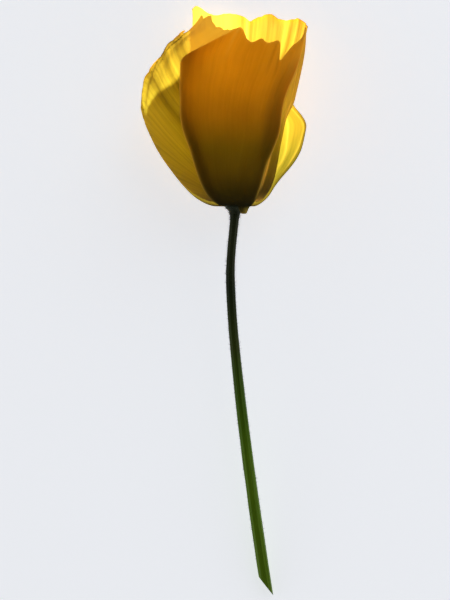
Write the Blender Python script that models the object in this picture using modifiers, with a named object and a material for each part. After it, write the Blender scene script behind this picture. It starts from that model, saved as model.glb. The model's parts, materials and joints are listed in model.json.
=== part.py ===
"""A picked Iceland poppy lying on its side.

Pieces: a curved stem that flares into the receptacle, four petals that make a cup (two outer, two inner),
a pistil, and three whorls of stamens. Each piece is one closed solid.

The flower has a frame of its own, in millimetres, held by the empty flower_axis. X points to its right,
Y runs from the stem to the mouth of the cup, and Z points up from the surface. Its origin is where the
petals join the receptacle. The axis is tipped about X, so that the back petal and the cut end of the stem
both rest on Z = 0, and placed so that the world origin is under the middle of the whole flower.
"""

import math
import random

import bmesh
import bpy
import numpy as np
from mathutils import Vector

MM = 0.001

# How the flower lies: its tip about X, and where the receptacle is, in millimetres.
LYING_TILT = math.radians(4.8)
RECEPTACLE_AT = (2.6, 26.3, 16.0)

# The cup that all petals share, from the receptacle to the mouth.
# Each row: share of the way up, height, reach to the left, reach to the right, half of the depth.
CUP_PROFILE = (
    (0.00, 0.8, 3.25, 3.25, 3.25),
    (0.10, -0.1, 6.3, 6.3, 5.8),
    (0.22, 2.3, 11.8, 9.3, 10.0),
    (0.36, 9.0, 18.3, 12.4, 14.3),
    (0.50, 17.0, 23.3, 14.8, 17.4),
    (0.64, 26.0, 26.3, 16.6, 19.0),
    (0.78, 35.0, 25.5, 18.6, 19.0),
    (0.90, 43.0, 21.8, 20.0, 18.0),
    (1.00, 50.0, 15.7, 20.4, 16.6),
    (1.08, 55.0, 14.4, 20.6, 15.6),
)
LAYER_GAP = 0.6
PETAL_THICKNESS = 0.4
GRID_ACROSS = 22
GRID_ALONG = 15

# Each petal is a patch of the cup. An angle of 0 is to the right, 90 up and 180 to the left, in degrees.
# left_edge and right_edge: (share of the way up, angle). top_edge: (-1 left to 1 right, height).
PETALS = {
    "petal_front_outer": {
        "layer": 1,
        "left_edge": (
            (0.0, 122), (0.3, 121), (0.5, 118), (0.64, 117), (0.78, 120), (0.88, 127), (1.0, 133),
        ),
        "right_edge": ((0.0, 38), (0.3, 36), (0.64, 33), (0.72, 27), (0.8, 21), (1.0, 11)),
        "top_edge": (
            (-1.0, 40.0), (-0.88, 43.6), (-0.76, 45.0), (-0.52, 47.0), (-0.32, 48.4), (-0.19, 46.2),
            (-0.08, 44.4), (0.07, 45.1), (0.16, 44.0), (0.34, 44.2), (0.48, 40.2), (0.57, 42.6),
            (0.76, 46.2), (1.0, 48.4),
        ),
        "flank_flare": 0.0,
        "base_lobe": 2.6,
    },
    "petal_back_outer": {
        "layer": 1,
        "left_edge": (
            (0.0, 207), (0.2, 207), (0.4, 206), (0.55, 206), (0.62, 210), (0.7, 222), (0.78, 231),
            (0.9, 229), (1.06, 218),
        ),
        "right_edge": (
            (0.0, 340), (0.2, 347), (0.5, 353), (0.6, 350), (0.66, 338), (0.73, 327), (0.84, 329),
            (0.92, 339), (1.0, 347),
        ),
        "top_edge": (
            (-1.0, 54.0), (-0.75, 53.2), (-0.5, 52.5), (-0.25, 51.6), (-0.12, 50.0), (0.0, 51.6),
            (0.25, 52.1), (0.43, 50.6), (0.7, 50.2), (1.0, 48.2),
        ),
        "flank_flare": 3.3,
        "base_lobe": 0.0,
    },
    "petal_left_inner": {
        "layer": -1,
        "left_edge": ((0.0, 196), (0.3, 212), (0.5, 221), (0.64, 220), (0.8, 212), (1.0, 204)),
        "right_edge": ((0.0, 104), (0.5, 98), (1.0, 92)),
        "top_edge": (
            (-1.0, 25.5), (-0.8, 29.4), (-0.6, 33.0), (-0.34, 38.0), (-0.18, 42.6), (-0.02, 45.9),
            (0.15, 48.0), (0.31, 49.8), (0.45, 51.2), (0.56, 51.3), (0.66, 50.0), (0.75, 48.4), (1.0, 47.4),
        ),
        "flank_flare": 0.0,
        "base_lobe": 0.0,
    },
    "petal_right_inner": {
        "layer": -1,
        "left_edge": ((0.0, 46), (0.5, 52), (1.0, 52)),
        "right_edge": ((0.0, -44), (0.5, -52), (1.0, -52)),
        "top_edge": (
            (-1.0, 38.5), (-0.67, 40.6), (-0.38, 44.2), (-0.15, 47.6), (0.0, 48.0), (0.2, 45.8),
            (0.42, 42.0), (0.67, 38.0), (1.0, 34.0),
        ),
        "flank_flare": 0.0,
        "base_lobe": 0.0,
    },
}

# Soft waves of the petals: (height of the wave, waves round the cup, turn with height, start).
CRUMPLES = ((0.45, 5, 2.2, 1.3), (0.30, 9, -3.0, 0.4), (0.16, 15, 4.0, 2.1))
RIM_RUFFLE = 0.7
RIM_RUFFLES_ACROSS = 3.5

# How a petal gives way where it rests: its lowest middle height, and how gradually it flattens.
RESTING_HEIGHT = 0.02
RESTING_SOFTNESS = 1.2

# Middle line of the stem, from the receptacle to the cut: x, y, z, radius.
STEM_LINE = (
    (0.0, -0.8, 0.0, 2.8),
    (0.0, -1.4, 0.0, 2.2),
    (0.0, -2.5, 0.0, 1.6),
    (-0.2, -5.0, 0.0, 1.22),
    (-1.1, -15.0, -0.1, 1.17),
    (-1.2, -23.0, -0.2, 1.24),
    (-0.2, -38.0, -0.6, 1.28),
    (2.3, -61.0, -1.8, 1.45),
    (5.6, -86.0, -3.7, 1.58),
    (9.2, -110.0, -6.0, 1.6),
)
STEM_POINTS = 44
STEM_SIDES = 12
STEM_CUT_AT = (8.0, -105.0, -5.3)
STEM_CUT_SLOPE = math.radians(52)
CUTTER_SIZE = 20.0

# Pistil profile down its outer side, radius and height: stigma cap, then ovary.
PISTIL_PROFILE = (
    (0.0, 10.0), (1.1, 9.85), (2.2, 9.5), (2.8, 8.9), (2.7, 8.4), (1.95, 8.1), (1.9, 7.6), (2.15, 6.5),
    (2.1, 5.2), (1.75, 3.6), (1.35, 2.2), (1.05, 0.9), (0.95, -0.5), (0.0, -0.5),
)
PISTIL_SIDES = 20

# Whorls of stamens: radius at the foot, radius and height at the tip, and how late they spread.
STAMEN_WHORLS = ((1.55, 4.9, 9.6, 1.15), (1.98, 7.0, 9.0, 1.35), (2.35, 9.0, 7.7, 1.6))
STAMENS_IN_WHORL = 14
STAMEN_SIDES = 6
STAMEN_SEED = 11
STAMEN_FOOT_HEIGHT = -0.45
FILAMENT_RADIUS = 0.15
ANTHER_LENGTH = 1.9
ANTHER_RADIUS = 0.5

COLOURS = {
    "petal": (0.86, 0.52, 0.01),
    "stem": (0.03, 0.06, 0.005),
    "pistil": (0.20, 0.30, 0.04),
    "stamen": (0.75, 0.48, 0.03),
}


def smooth_through(knots, at):
    """Cubic curve through (position, value) knots, whose slope at each knot comes from its neighbours."""
    place, value = np.array(knots, float).T
    slope = np.gradient(value, place)
    i = np.clip(np.searchsorted(place, at) - 1, 0, len(place) - 2)
    width = place[i + 1] - place[i]
    s = (np.clip(at, place[0], place[-1]) - place[i]) / width
    start = value[i] * (2 * s**3 - 3 * s**2 + 1) + slope[i] * width * (s**3 - 2 * s**2 + s)
    return start + value[i + 1] * (3 * s**2 - 2 * s**3) + slope[i + 1] * width * (s**3 - s**2)


def ease(at, low, high):
    """0 below low, 1 above high, and a smooth rise between them."""
    s = np.clip((at - low) / (high - low), 0.0, 1.0)
    return s * s * (3 - 2 * s)


def column(index):
    """One column of the cup profile, as (share, value) knots."""
    return tuple((row[0], row[index]) for row in CUP_PROFILE)


def cup_point(angle, share):
    """A point on the cup: an ellipse round the axis, whose middle and widths change with the share up."""
    left = smooth_through(column(2), share)
    right = smooth_through(column(3), share)
    x = (right - left) / 2 + (right + left) / 2 * np.cos(angle)
    z = smooth_through(column(4), share) * np.sin(angle)
    return np.stack([x, smooth_through(column(1), share), z], axis=-1)


def cup_normal(angle, share):
    """The outward direction of the cup, from the slopes of cup_point each way."""
    step = 1e-3
    across = cup_point(angle + step, share) - cup_point(angle - step, share)
    along = cup_point(angle, share + step) - cup_point(angle, np.maximum(share - step, 0.0))
    normal = np.cross(along, across)
    return normal / np.linalg.norm(normal, axis=-1, keepdims=True)


def share_at_height(height):
    """How far up the cup a height of the wall is."""
    shares = np.linspace(0.1, CUP_PROFILE[-1][0], 200)
    return np.interp(height, smooth_through(column(1), shares), shares)


def petal_points(petal, across, along):
    """Middle surface of a petal: across is -1 left to 1 right, along is 0 at the foot to 1 at the rim."""
    share = along * share_at_height(smooth_through(petal["top_edge"], across))
    left = smooth_through(petal["left_edge"], share)
    right = smooth_through(petal["right_edge"], share)
    angle = np.radians(left + (right - left) * (across + 1) / 2)
    upper = ease(share, 0.25, 1.0)
    lift = petal["layer"] * LAYER_GAP
    for height, waves, turn, start in CRUMPLES:
        lift = lift + height * upper * np.sin(waves * angle + turn * share + start)
    ruffle = 0.5 + 0.5 * np.sin(RIM_RUFFLES_ACROSS * math.pi * across)
    lift = lift + petal["layer"] * RIM_RUFFLE * along**5 * ruffle
    flank = ease(across, 0.5, 1.0) * ease(share, 0.28, 0.5) * (1 - ease(share, 0.54, 0.7))
    lift = lift + petal["flank_flare"] * flank
    points = cup_point(angle, share) + lift[..., None] * cup_normal(angle, share)
    lobe = ease(across, 0.0, 0.6) * np.exp(-(((share - 0.045) / 0.035) ** 2))
    points[..., 1] -= petal["base_lobe"] * lobe
    return points


def rest_on_surface(points, lowest):
    """Flattens what would sink into the surface: its height above the surface eases into the lowest."""
    up = np.array([0.0, math.sin(LYING_TILT), math.cos(LYING_TILT)])
    over = RECEPTACLE_AT[2] + points @ up - lowest
    raised = (np.sqrt(over**2 + RESTING_SOFTNESS**2) - over) / 2
    return points + raised[..., None] * up


def material(name, roughness):
    made = bpy.data.materials.new(name)
    made.use_nodes = True
    shader = made.node_tree.nodes["Principled BSDF"]
    shader.inputs["Base Color"].default_value = (*COLOURS[name], 1.0)
    shader.inputs["Roughness"].default_value = roughness
    return made


def add(name, data, collection, flower_axis):
    """A new object in the collection, held by the flower's axis."""
    made = bpy.data.objects.new(name, data)
    made.parent = flower_axis
    collection.objects.link(made)
    return made


def shade_smooth(mesh):
    mesh.shade_smooth()
    mesh.set_sharp_from_angle(angle=math.radians(50))


def make_petal(name, petal, collection, flower_axis, finish):
    """A flat grid bent onto the cup, then given its thickness."""
    bm = bmesh.new()
    bmesh.ops.create_grid(bm, x_segments=GRID_ACROSS, y_segments=GRID_ALONG, size=1.0)
    flat = np.array([v.co for v in bm.verts])
    bent = petal_points(petal, flat[:, 0], (flat[:, 1] + 1) / 2)
    bent = rest_on_surface(bent, RESTING_HEIGHT + LAYER_GAP * (1 - petal["layer"]))
    for vertex, place in zip(bm.verts, bent):
        vertex.co = place * MM
    bmesh.ops.recalc_face_normals(bm, faces=bm.faces)
    mesh = bpy.data.meshes.new(name)
    bm.to_mesh(mesh)
    bm.free()
    mesh.materials.append(finish)
    shade_smooth(mesh)
    made = add(name, mesh, collection, flower_axis)
    solid = made.modifiers.new("Thickness", "SOLIDIFY")
    solid.thickness = PETAL_THICKNESS * MM
    solid.offset = 0.0


def make_tube(name, points, radii, sides, collection, flower_axis, finish):
    """A poly curve through the points, with its own radius at each and filled ends, made a mesh."""
    curve = bpy.data.curves.new(name, "CURVE")
    curve.dimensions = "3D"
    curve.bevel_depth = MM
    curve.bevel_resolution = (sides - 4) // 2
    curve.use_fill_caps = True
    spline = curve.splines.new("POLY")
    spline.points.add(len(points) - 1)
    for spot, place, radius in zip(spline.points, points, radii):
        spot.co = (*(Vector(place) * MM), 1.0)
        spot.radius = radius
    guide = add(name + "_curve", curve, collection, flower_axis)
    bpy.context.view_layer.update()
    graph = bpy.context.evaluated_depsgraph_get()
    mesh = bpy.data.meshes.new_from_object(guide.evaluated_get(graph))
    weld_caps(mesh)
    mesh.materials.clear()
    mesh.materials.append(finish)
    shade_smooth(mesh)
    made = add(name, mesh, collection, flower_axis)
    made.matrix_world = guide.matrix_world.copy()
    bpy.data.objects.remove(guide)
    bpy.data.curves.remove(curve)
    return made


def weld_caps(mesh):
    """Joins a tube's loose end caps to its sides."""
    bm = bmesh.new()
    bm.from_mesh(mesh)
    bmesh.ops.remove_doubles(bm, verts=bm.verts, dist=0.001 * MM)
    bmesh.ops.recalc_face_normals(bm, faces=bm.faces)
    bm.to_mesh(mesh)
    bm.free()


def make_stem(collection, cutters, flower_axis, finish):
    """A tapered tube along the stem's line, flared into the receptacle and cut off at a slant."""
    shares = np.linspace(0.0, 1.0, len(STEM_LINE))
    at = np.linspace(0.0, 1.0, STEM_POINTS)
    x, y, z, radii = [smooth_through(tuple(zip(shares, values)), at) for values in zip(*STEM_LINE)]
    points = np.stack([x, y, z], axis=-1)
    stem = make_tube("stem", points, radii, STEM_SIDES, collection, flower_axis, finish)
    bpy.ops.mesh.primitive_cube_add(size=CUTTER_SIZE * MM)
    cutter = bpy.context.object
    cutter.name = "stem_end_cutter"
    cutter.parent = flower_axis
    cutter.rotation_euler = (0.0, 0.0, -STEM_CUT_SLOPE)
    inwards = Vector((-math.sin(STEM_CUT_SLOPE), -math.cos(STEM_CUT_SLOPE), 0.0))
    cutter.location = (Vector(STEM_CUT_AT) + inwards * CUTTER_SIZE / 2) * MM
    cutter.hide_render = True
    cutter.display_type = "WIRE"
    for owner in list(cutter.users_collection):
        owner.objects.unlink(cutter)
    cutters.objects.link(cutter)
    cut = stem.modifiers.new("Slanted cut", "BOOLEAN")
    cut.operation = "DIFFERENCE"
    cut.object = cutter


def make_pistil(collection, flower_axis, finish):
    """The ovary and its stigma cap, turned about the flower's axis."""
    mesh = bpy.data.meshes.new("pistil")
    points = [(radius * MM, 0.0, height * MM) for radius, height in PISTIL_PROFILE]
    edges = [(i, i + 1) for i in range(len(points) - 1)]
    mesh.from_pydata(points, edges, [])
    mesh.materials.append(finish)
    pistil = add("pistil", mesh, collection, flower_axis)
    pistil.rotation_euler = (-math.pi / 2, 0.0, 0.0)
    turned = pistil.modifiers.new("Turned", "SCREW")
    turned.axis = "Z"
    turned.steps = turned.render_steps = PISTIL_SIDES
    turned.use_merge_vertices = True
    turned.merge_threshold = 0.01 * MM
    turned.use_smooth_shade = True


def stamen_line(angle, foot, reach, height, lateness):
    """Points and radii of one stamen: a filament that curves outwards, then its anther in line with it."""
    filament_end = 1 - ANTHER_LENGTH / math.hypot(reach - foot, height)
    along = (0.0, 0.3 * filament_end, 0.65 * filament_end, filament_end)
    anther = tuple(filament_end + (1 - filament_end) * s for s in (0.25, 0.75, 1.0))
    points = []
    for s in along + anther:
        radius = foot + (reach - foot) * s**lateness
        y = STAMEN_FOOT_HEIGHT + (height - STAMEN_FOOT_HEIGHT) * s**0.85
        points.append((radius * math.cos(angle), y, radius * math.sin(angle)))
    thick = (ANTHER_RADIUS, 0.9 * ANTHER_RADIUS, 0.3 * ANTHER_RADIUS)
    return points, (FILAMENT_RADIUS,) * len(along) + thick


def make_stamens(collection, flower_axis, finish):
    """Every stamen of every whorl, spaced evenly with a little natural scatter."""
    scatter = random.Random(STAMEN_SEED)
    number = 0
    for whorl, (foot, reach, height, lateness) in enumerate(STAMEN_WHORLS):
        for i in range(STAMENS_IN_WHORL):
            number += 1
            turn = (i + whorl / len(STAMEN_WHORLS)) / STAMENS_IN_WHORL
            angle = 2 * math.pi * turn + scatter.uniform(-0.03, 0.03)
            reached = reach + scatter.uniform(-0.35, 0.35)
            tall = height + scatter.uniform(-0.7, 0.7)
            points, radii = stamen_line(angle, foot, reached, tall, lateness)
            name = f"stamen_{number:02d}"
            make_tube(name, points, radii, STAMEN_SIDES, collection, flower_axis, finish)


def clear_scene():
    for old in list(bpy.data.objects):
        bpy.data.objects.remove(old)


def main():
    clear_scene()
    flower = bpy.data.collections.new("poppy_flower")
    cutters = bpy.data.collections.new("cutters")
    bpy.context.scene.collection.children.link(flower)
    bpy.context.scene.collection.children.link(cutters)
    flower_axis = bpy.data.objects.new("flower_axis", None)
    flower_axis.location = Vector(RECEPTACLE_AT) * MM
    flower_axis.rotation_euler = (LYING_TILT, 0.0, 0.0)
    flower.objects.link(flower_axis)
    petal_finish = material("petal", 0.6)
    for name, petal in PETALS.items():
        make_petal(name, petal, flower, flower_axis, petal_finish)
    make_stem(flower, cutters, flower_axis, material("stem", 0.55))
    make_pistil(flower, flower_axis, material("pistil", 0.6))
    make_stamens(flower, flower_axis, material("stamen", 0.7))


main()
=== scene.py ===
import json
import math
import random

import bpy
import numpy as np
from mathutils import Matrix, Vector

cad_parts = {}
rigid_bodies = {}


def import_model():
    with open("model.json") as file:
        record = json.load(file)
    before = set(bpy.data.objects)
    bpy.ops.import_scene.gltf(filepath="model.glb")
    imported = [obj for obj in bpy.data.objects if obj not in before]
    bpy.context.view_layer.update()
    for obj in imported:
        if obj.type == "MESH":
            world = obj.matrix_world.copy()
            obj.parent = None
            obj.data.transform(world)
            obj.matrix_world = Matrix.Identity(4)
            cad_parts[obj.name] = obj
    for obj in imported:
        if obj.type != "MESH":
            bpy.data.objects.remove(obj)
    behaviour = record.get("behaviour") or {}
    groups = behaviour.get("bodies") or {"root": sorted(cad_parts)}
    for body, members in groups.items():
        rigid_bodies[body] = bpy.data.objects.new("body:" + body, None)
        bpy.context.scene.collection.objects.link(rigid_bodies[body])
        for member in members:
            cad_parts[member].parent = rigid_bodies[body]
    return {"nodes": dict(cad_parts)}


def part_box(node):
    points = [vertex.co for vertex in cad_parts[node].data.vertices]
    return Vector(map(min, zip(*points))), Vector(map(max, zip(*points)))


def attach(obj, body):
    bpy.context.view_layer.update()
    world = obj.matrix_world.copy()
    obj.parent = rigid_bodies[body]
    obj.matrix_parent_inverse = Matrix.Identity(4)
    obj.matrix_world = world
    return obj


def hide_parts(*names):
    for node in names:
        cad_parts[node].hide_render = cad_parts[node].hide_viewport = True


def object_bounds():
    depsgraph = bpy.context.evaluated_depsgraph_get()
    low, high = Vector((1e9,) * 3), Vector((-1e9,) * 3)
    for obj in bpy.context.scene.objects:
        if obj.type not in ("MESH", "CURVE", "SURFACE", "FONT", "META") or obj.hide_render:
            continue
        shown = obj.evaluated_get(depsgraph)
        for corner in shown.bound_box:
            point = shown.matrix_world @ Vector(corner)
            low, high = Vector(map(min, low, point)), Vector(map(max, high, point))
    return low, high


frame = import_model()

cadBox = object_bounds()
mm = 0.001
print("frame loaded:", len(frame["nodes"]), "nodes")

# The flower lies tipped about X. Its own frame is in millimetres: x to its right, y from the stem
# to the mouth of the cup, z up. The frame starts where the petals join the receptacle, which is
# found from the pistil: its foot and its widest ring are at known radii and heights.
lying = {"tiltDegrees": 4.8, "pistilFoot": (0.95, -0.5), "pistilRim": (2.8, 8.9)}


def findReceptacle():
    # the pistil's box holds the low end of its tilted foot and the high end of its tilted rim
    low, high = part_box("pistil")
    footRadius, footHeight = lying["pistilFoot"]
    rimRadius, rimHeight = lying["pistilRim"]
    y = low[1] / mm - footHeight * math.cos(tilt) + footRadius * math.sin(tilt)
    z = high[2] / mm - rimHeight * math.sin(tilt) - rimRadius * math.cos(tilt)
    return np.array([(low[0] + high[0]) / 2 / mm, y, z])


tilt = math.radians(lying["tiltDegrees"])
receptacle = findReceptacle()
flowerUp = np.array([0.0, math.sin(tilt), math.cos(tilt)])  # straight up, seen from the flower's frame
turnToWorld = np.array([
    [1, 0, 0],
    [0, math.cos(tilt), -math.sin(tilt)],
    [0, math.sin(tilt), math.cos(tilt)],
])


def toWorld(points):
    # flower millimetres to world metres: turned by the tilt, then moved to the receptacle
    return (np.asarray(points) @ turnToWorld.T + receptacle) * mm



def through(knots, at):
    # cubic curve through (place, value) knots, whose slope at a knot comes from its neighbours
    place, value = np.array(knots, float).T
    slope = np.gradient(value, place)
    i = np.clip(np.searchsorted(place, at) - 1, 0, len(place) - 2)
    width = place[i + 1] - place[i]
    s = (np.clip(at, place[0], place[-1]) - place[i]) / width
    start = value[i] * (2 * s**3 - 3 * s**2 + 1) + slope[i] * width * (s**3 - 2 * s**2 + s)
    return start + value[i + 1] * (3 * s**2 - 2 * s**3) + slope[i + 1] * width * (s**3 - s**2)


def ease(at, low, high):
    # 0 below low, 1 above high, a smooth rise between
    s = np.clip((at - low) / (high - low), 0.0, 1.0)
    return s * s * (3 - 2 * s)


def roll(x, y, seed):
    # smooth random hills from -1 to 1, one hill to each whole step of x and y
    size = 64
    heights = np.random.default_rng(seed).uniform(-1, 1, (size, size))
    i, j = np.floor(x).astype(int), np.floor(y).astype(int)
    s, t = x - i, y - j
    s, t = s * s * (3 - 2 * s), t * t * (3 - 2 * t)
    low = heights[i % size, j % size] * (1 - s) + heights[(i + 1) % size, j % size] * s
    high = heights[i % size, (j + 1) % size] * (1 - s) + heights[(i + 1) % size, (j + 1) % size] * s
    return low * (1 - t) + high * t


def gridFaces(rows, columns, closed=False):
    # one four-sided face to each cell of a grid of points; closed joins the last column to the first
    index = np.arange(rows * columns).reshape(rows, columns)
    if closed:
        index = np.concatenate([index, index[:, :1]], axis=1)
    cells = (index[:-1, :-1], index[:-1, 1:], index[1:, 1:], index[1:, :-1])
    return np.stack(cells, axis=-1).reshape(-1, 4)


def fan(ring, middle):
    # triangles from a ring of points to one middle point
    return np.stack([ring, np.roll(ring, -1), np.full(len(ring), middle)], axis=-1)


def band(at, rise, fall):
    # 0, then 1 between a rise and a fall, each a pair of places
    return ease(at, *rise) * (1 - ease(at, *fall))


def signedVolume(points, faces):
    # six times the volume inside, from the triangles of each face; below 0 when the faces point in
    total = 0.0
    for group in faces:
        a = points[group[:, 0]]
        for k in range(1, group.shape[1] - 1):
            total += np.einsum("ij,ij->i", a, np.cross(points[group[:, k]], points[group[:, k + 1]])).sum()
    return total


def addPiece(name, points, faces, finishes, nodes, uv=None, values=None, finishOf=None):
    # a finished piece from world points and groups of faces, turned to face out, with its materials
    if signedVolume(points, faces) < 0:
        faces = [group[:, ::-1] for group in faces]
    corners = np.concatenate([group.ravel() for group in faces])
    sizes = np.concatenate([np.full(len(group), group.shape[1]) for group in faces])
    mesh = bpy.data.meshes.new(name)
    mesh.vertices.add(len(points))
    mesh.vertices.foreach_set("co", points.astype(np.float32).ravel())
    mesh.loops.add(len(corners))
    mesh.loops.foreach_set("vertex_index", corners.astype(np.int32))
    mesh.polygons.add(len(sizes))
    mesh.polygons.foreach_set("loop_start", (np.cumsum(sizes) - sizes).astype(np.int32))
    mesh.update(calc_edges=True)
    mesh.validate()
    mesh.shade_smooth()
    if uv is not None:
        layer = mesh.uv_layers.new(name="UVMap")
        layer.data.foreach_set("uv", uv[corners].astype(np.float32).ravel())
    for key, value in (values or {}).items():
        attribute = mesh.attributes.new(key, "FLOAT", "POINT")
        attribute.data.foreach_set("value", value.astype(np.float32).ravel())
    for finish in finishes:
        mesh.materials.append(finish)
    if finishOf is not None:
        mesh.polygons.foreach_set("material_index", finishOf.astype(np.int32))
    piece = bpy.data.objects.new(name, mesh)
    bpy.context.scene.collection.objects.link(piece)
    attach(piece, "root")
    if nodes:
        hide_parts(*nodes)
    return piece


def hexToLinear(code):
    # sRGB hex to the linear values that the shader reads
    parts = [int(code[i:i + 2], 16) / 255 for i in (1, 3, 5)]
    return [p / 12.92 if p <= 0.04045 else ((p + 0.055) / 1.055) ** 2.4 for p in parts] + [1.0]


def setStops(bar, stops):
    # the colours along a ramp, from (place, hex) pairs
    for element, (place, code) in zip((bar.elements[0], bar.elements[1]), (stops[0], stops[-1])):
        element.position, element.color = place, hexToLinear(code)
    for place, code in stops[1:-1]:
        bar.elements.new(place).color = hexToLinear(code)


def addNode(tree, kind, settings=None, sockets=None):
    # one node with its settings; a socket's value is a number, a colour or another node's output
    node = tree.nodes.new(kind)
    for key, value in (settings or {}).items():
        if key == "stops":
            setStops(node.color_ramp, value)
        else:
            setattr(node, key, value)
    for key, value in (sockets or {}).items():
        if isinstance(value, bpy.types.NodeSocket):
            tree.links.new(value, node.inputs[key])
        else:
            node.inputs[key].default_value = value
    return node


def newMaterial(name):
    # an empty material and its nodes
    material = bpy.data.materials.new(name)
    material.use_nodes = True
    material.node_tree.nodes.clear()
    return material, material.node_tree


# Poppy petal: two skins of cells with almost nothing between, crumpled in the bud like crepe paper.
# It gives a thin sheet that glows when light comes through, veins that fan out from the foot, a thinner
# margin painted paler as a highlight, and an olive foot where it is thick, darkened further with painted
# shade. Orange places and creases carry painted shade as well. Colours go from the foot, 0, to the rim, 1.
petalSkin = {
    "throughShare": 0.9,        # how much of the light goes through a face instead of off it
    # painted shade: all three ramps darken towards the foot, an olive claw deepened to stand for the shade of
    # the stamens and the pistil
    "lemonStops": (
        (0.0, "#b2a774"), (0.1, "#d2be70"), (0.25, "#ddce70"), (0.4, "#e6da72"), (0.62, "#efe47e"),
        (0.75, "#e2d270"), (0.88, "#dac66c"), (1.0, "#dcc676")),
    # painted shade: the orange ramp, deeper and darker than lemon, stands for the shade where a petal lies
    # behind others
    "orangeStops": (
        (0.0, "#5c5a40"), (0.1, "#6c6a48"), (0.25, "#85804e"), (0.335, "#9c9150"), (0.46, "#ac9f50"),
        (0.59, "#d2b155"), (0.72, "#ecc458"), (0.885, "#f5cb5c"), (1.0, "#f8cb60")),
    "offStops": ((0.0, "#23240a"), (0.12, "#3c360c"), (0.3, "#a87a10"), (0.6, "#e8ae14"), (1.0, "#f6c51c")),
    # painted shade: creases are darkened towards this tint
    "creaseShadeTint": "#c0b8a8",      # a crease is two or three layers of petal
    # the colour of the painted highlights in the pale places
    "paleTint": "#ffe484",
    "veinsAcross": 46,          # a vein every 0.8 mm on a petal 36 mm wide
    "veinDepth": (0.2, 0.06),   # where the petal is lemon, and where it is orange
    "crepeMm": 0.45,            # size of the finest crumples; real ones are finer, and wouldn't show
    "roughness": 0.55,
}


def makePetalSkin(look):
    material, tree = newMaterial("poppyPetalCrepe")
    uv = addNode(tree, "ShaderNodeUVMap", {"uv_map": "UVMap"}).outputs["UV"]
    height = addNode(tree, "ShaderNodeSeparateXYZ", sockets={"Vector": uv}).outputs["Y"]
    # veins: noise stretched along the petal, so that it makes long fine streaks
    stretched = addNode(tree, "ShaderNodeMapping", sockets={
        "Vector": uv, "Scale": (look["veinsAcross"], 1.6, 1.0)}).outputs["Vector"]
    streaks = addNode(tree, "ShaderNodeTexNoise", sockets={
        "Vector": stretched, "Scale": 1.0, "Detail": 3.0, "Roughness": 0.6, "Distortion": 0.25})
    # painted shade in creases, pale places that are mostly painted highlights, and orange that is painted
    # shade
    fold, pale, warm = [
        addNode(tree, "ShaderNodeAttribute", {"attribute_name": name}).outputs["Fac"]
        for name in ("fold", "pale", "warm")]
    lemonDepth, orangeDepth = look["veinDepth"]
    veinLow = addNode(tree, "ShaderNodeMapRange", sockets={
        "Value": warm, "To Min": 1.0 - lemonDepth, "To Max": 1.0 - orangeDepth}).outputs["Result"]
    veinDark = addNode(tree, "ShaderNodeMapRange", sockets={
        "Value": streaks.outputs["Fac"], "From Min": 0.35, "From Max": 0.65,
        "To Min": veinLow, "To Max": 1.0}).outputs["Result"]
    # broad patches, because no petal is evenly thick
    patches = addNode(tree, "ShaderNodeTexNoise", sockets={
        "Vector": uv, "Scale": 4.0, "Detail": 3.0, "Roughness": 0.55})
    patchDark = addNode(tree, "ShaderNodeMapRange", sockets={
        "Value": patches.outputs["Fac"], "From Min": 0.3, "From Max": 0.7,
        "To Min": 0.9, "To Max": 1.01}).outputs["Result"]
    dark = addNode(tree, "ShaderNodeMath", {"operation": "MULTIPLY"}, {0: veinDark, 1: patchDark}).outputs[0]

    lemon, orange, offColour = [
        addNode(tree, "ShaderNodeValToRGB", {"stops": look[key]}, {"Fac": height}).outputs["Color"]
        for key in ("lemonStops", "orangeStops", "offStops")]

    def finished(base):
        # a colour with its veins, painted shade in its creases and the painted highlights of its pale places
        veined = addNode(tree, "ShaderNodeMix", {"data_type": "RGBA", "blend_type": "MULTIPLY"}, {
            0: 1.0, 6: base, 7: dark}).outputs[2]
        shadedInCreases = addNode(tree, "ShaderNodeMix", {"data_type": "RGBA", "blend_type": "MULTIPLY"}, {
            0: fold, 6: veined, 7: hexToLinear(look["creaseShadeTint"])}).outputs[2]
        return addNode(tree, "ShaderNodeMix", {"data_type": "RGBA", "blend_type": "MIX"}, {
            0: pale, 6: shadedInCreases, 7: hexToLinear(look["paleTint"])}).outputs[2]

    # warm mixes in orange: painted shade where a petal lies behind others, and the orange along the rim
    glow = addNode(tree, "ShaderNodeMix", {"data_type": "RGBA", "blend_type": "MIX"}, {
        0: warm, 6: lemon, 7: orange}).outputs[2]
    where = addNode(tree, "ShaderNodeTexCoord").outputs["Object"]
    crepe = addNode(tree, "ShaderNodeTexNoise", sockets={
        "Vector": where, "Scale": 1 / (look["crepeMm"] * mm), "Detail": 2.0, "Roughness": 0.6})
    bump = addNode(tree, "ShaderNodeBump", sockets={
        "Strength": 0.35, "Distance": 0.08 * mm, "Height": crepe.outputs["Fac"]})
    veinBump = addNode(tree, "ShaderNodeBump", sockets={
        "Strength": 0.4, "Distance": 0.1 * mm, "Height": streaks.outputs["Fac"],
        "Normal": bump.outputs["Normal"]}).outputs["Normal"]
    off = addNode(tree, "ShaderNodeBsdfPrincipled", sockets={
        "Base Color": finished(offColour), "Roughness": look["roughness"], "Specular IOR Level": 0.12,
        "Normal": veinBump})
    through = addNode(tree, "ShaderNodeBsdfTranslucent", sockets={
        "Color": finished(glow), "Normal": veinBump})
    mixed = addNode(tree, "ShaderNodeMixShader", sockets={
        0: look["throughShare"], 1: off.outputs[0], 2: through.outputs[0]})
    addNode(tree, "ShaderNodeOutputMaterial", sockets={"Surface": mixed.outputs[0]})
    return material


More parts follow.
